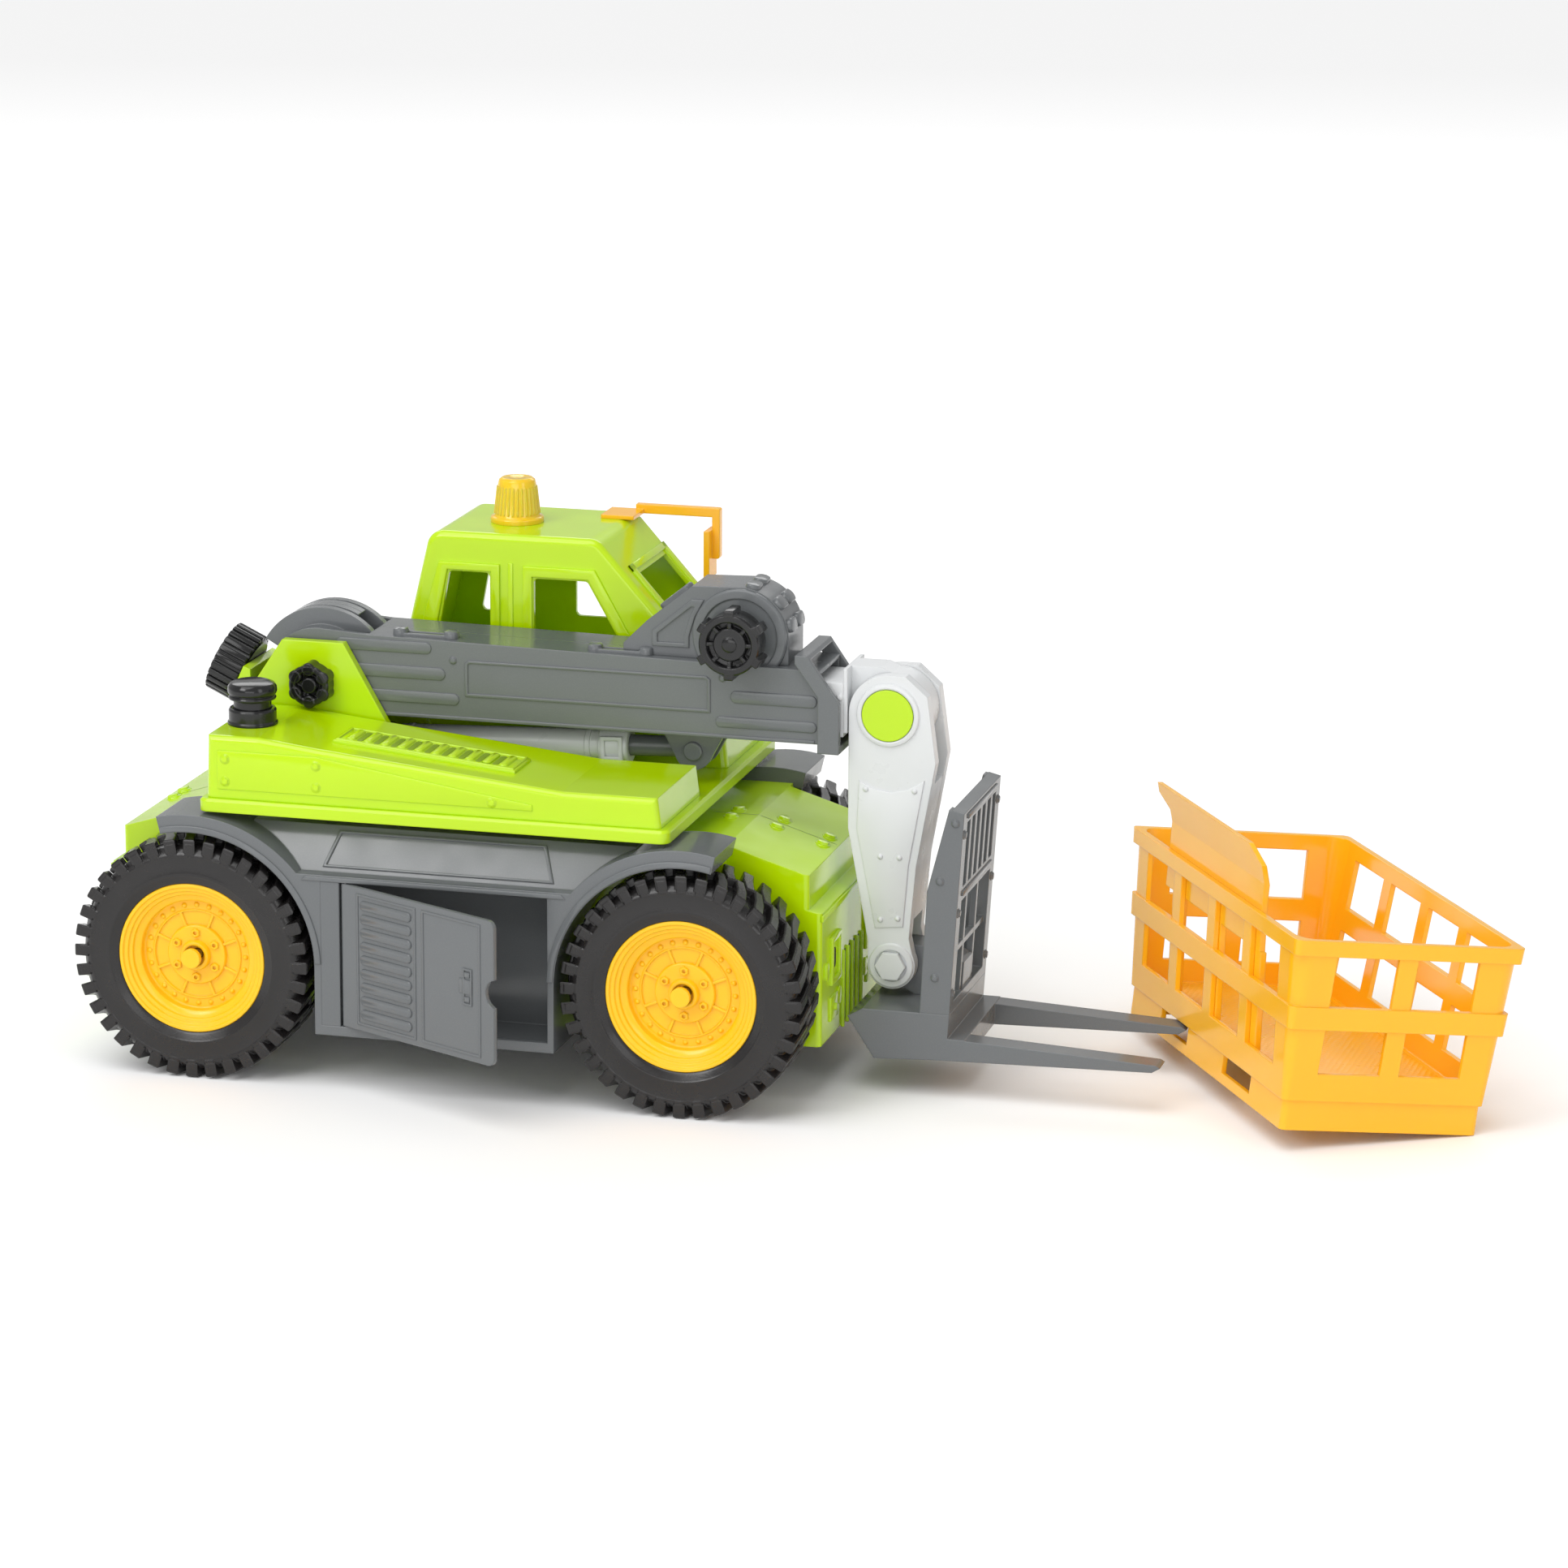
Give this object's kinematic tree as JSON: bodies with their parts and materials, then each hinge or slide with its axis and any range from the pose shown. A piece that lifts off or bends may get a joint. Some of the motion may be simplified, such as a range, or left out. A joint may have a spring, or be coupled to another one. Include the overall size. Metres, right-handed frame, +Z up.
{
  "type": "toy telescopic fork lift",
  "caption": "Toy telescopic fork lift with a slewing cab and boom, a winding knob lift, a sliding inner boom, a tilting fork carriage, opening side doors and a separate work basket.",
  "frame": {"origin": "on the floor, midway between the axles and midway between the wheels", "axes": "+X forwards along the forks, +Y towards the cab side, +Z up"},
  "size_m": [0.6938, 0.3104, 0.2725],
  "materials": {
    "lime": "moulded, glossy",
    "grey": "moulded, satin, slightly pearly",
    "pale_grey": "moulded, satin",
    "black": "moulded, glossy",
    "rim_yellow": "moulded, glossy",
    "basket_yellow": "moulded, glossy",
    "steel": "zinc plated",
    "tyre": "soft moulded, matte",
    "amber": "translucent, glossy"
  },
  "bodies": {
    "chassis": {"chassis_hull": "lime", "chassis_floor": "grey", "base_screws": "steel", "skirt_near": "grey", "skirt_far": "grey", "hinge_strips": "grey", "door_pins": "steel", "axles": "steel", "axle_caps": "rim_yellow", "turntable_ring": "grey"},
    "door_leaf_near": {"door_near": "grey"},
    "door_leaf_far": {"door_far": "grey"},
    "wheel_front_near": {"tyre_front_near": "tyre", "rim_front_near": "rim_yellow"},
    "wheel_front_far": {"tyre_front_far": "tyre", "rim_front_far": "rim_yellow"},
    "wheel_rear_near": {"tyre_rear_near": "tyre", "rim_rear_near": "rim_yellow"},
    "wheel_rear_far": {"tyre_rear_far": "tyre", "rim_rear_far": "rim_yellow"},
    "turret": {"deck": "lime", "turret_retainer": "grey", "turret_screw": "steel", "engine_pod": "lime", "button_socket": "black", "button_spring": "steel", "boom_bracket_near": "lime", "boom_bracket_far": "lime", "boom_pin": "steel", "pivot_knobs": "black", "worm_housing": "lime", "cab_shell": "lime", "beacon_lens": "amber", "mirror_arm": "basket_yellow", "cylinder_foot": "grey"},
    "button": {"button_cap": "black"},
    "lift_winder": {"lift_worm": "black", "lift_knob": "black"},
    "boom": {"boom_shell_near": "grey", "boom_shell_far": "grey", "lift_gear": "black", "boom_collar": "grey", "knob_housing": "grey", "cylinder_lug": "grey"},
    "extension_winder": {"extension_pinion": "black", "extension_knob": "black"},
    "extension": {"inner_boom": "pale_grey", "boom_head": "pale_grey"},
    "arm": {"arm_near": "pale_grey", "arm_far": "pale_grey", "arm_pin": "steel", "arm_caps": "lime", "carriage_pin": "pale_grey"},
    "carriage": {"carriage_frame": "grey", "forks": "grey"},
    "work_basket": {"basket": "basket_yellow", "basket_console": "basket_yellow"},
    "cylinder_lower": {"cylinder_barrel": "pale_grey", "cylinder_collar": "pale_grey"},
    "cylinder_upper": {"cylinder_rod": "grey"}
  },
  "joints": [
    {"name": "door_near_hinge", "type": "hinge", "parent": "chassis", "child": "door_leaf_near", "pos_m": [-0.0445, -0.1027, 0.06765], "axis": [0, 0, -1], "range_deg": [-27, 63]},
    {"name": "door_far_hinge", "type": "hinge", "parent": "chassis", "child": "door_leaf_far", "pos_m": [-0.0445, 0.1027, 0.06765], "axis": [0, 0, 1], "range_deg": [0, 90]},
    {"name": "wheel_front_near_spin", "type": "hinge", "parent": "chassis", "child": "wheel_front_near", "pos_m": [0.1228, 0, 0.06], "axis": [0, 1, 0], "continuous": true},
    {"name": "wheel_front_far_spin", "type": "hinge", "parent": "chassis", "child": "wheel_front_far", "pos_m": [0.1228, 0, 0.06], "axis": [0, 1, 0], "continuous": true},
    {"name": "wheel_rear_near_spin", "type": "hinge", "parent": "chassis", "child": "wheel_rear_near", "pos_m": [-0.1228, 0, 0.06], "axis": [0, 1, 0], "continuous": true},
    {"name": "wheel_rear_far_spin", "type": "hinge", "parent": "chassis", "child": "wheel_rear_far", "pos_m": [-0.1228, 0, 0.06], "axis": [0, 1, 0], "continuous": true},
    {"name": "turret_slew", "type": "hinge", "parent": "chassis", "child": "turret", "pos_m": [0, 0, 0.133], "axis": [0, 0, 1], "range_deg": [-6, 6]},
    {"name": "button_press", "type": "slide", "parent": "turret", "child": "button", "axis": [0, 0, -1], "range_m": [0, 0.003], "stiffness_N_per_m": 400, "springref_m": -0.001, "deforming": ["button_spring"]},
    {"name": "boom_lift", "type": "hinge", "parent": "turret", "child": "boom", "pos_m": [-0.0855, 0, 0.182], "axis": [0, -1, 0], "range_deg": [0, 45]},
    {"name": "lift_wind", "type": "hinge", "parent": "turret", "child": "lift_winder", "pos_m": [-0.09405, 0, 0.16392], "axis": [0.9041, 0, -0.4274], "range_deg": [0, 540]},
    {"name": "extension_slide", "type": "slide", "parent": "boom", "child": "extension", "axis": [1, 0, 0], "range_m": [0, 0.06]},
    {"name": "extension_wind", "type": "hinge", "parent": "boom", "child": "extension_winder", "pos_m": [0.127, 0, 0.2157], "axis": [0, -1, 0], "range_deg": [-1, 216]},
    {"name": "arm_tilt", "type": "hinge", "parent": "extension", "child": "arm", "pos_m": [0.201, 0, 0.182], "axis": [0, -1, 0], "range_deg": [0, 60]},
    {"name": "carriage_tilt", "type": "hinge", "parent": "arm", "child": "carriage", "pos_m": [0.2038, 0, 0.0578], "axis": [0, -1, 0], "range_deg": [-9, 8]},
    {"name": "basket_slide", "type": "slide", "parent": "carriage", "child": "work_basket", "axis": [0.8508, 0.5255, 0], "range_m": [0, 0.06]},
    {"name": "cylinder_swing", "type": "hinge", "parent": "turret", "child": "cylinder_lower", "pos_m": [-0.058, 0, 0.1495], "axis": [0, -1, 0], "range_deg": [-1, 49]},
    {"name": "cylinder_stroke", "type": "slide", "parent": "cylinder_lower", "child": "cylinder_upper", "axis": [0.9992, 0, 0.0411], "range_m": [-0.001, 0.0315]}
  ],
  "couplings": [
    {"joint": "lift_wind", "follows": "boom_lift", "ratio": 12},
    {"joint": "cylinder_swing", "follows": "boom_lift", "ratio": 1.073},
    {"joint": "cylinder_stroke", "follows": "boom_lift", "m_per_rad": 0.0391},
    {"joint": "extension_wind", "follows": "extension_slide", "rad_per_m": 62.5}
  ]
}
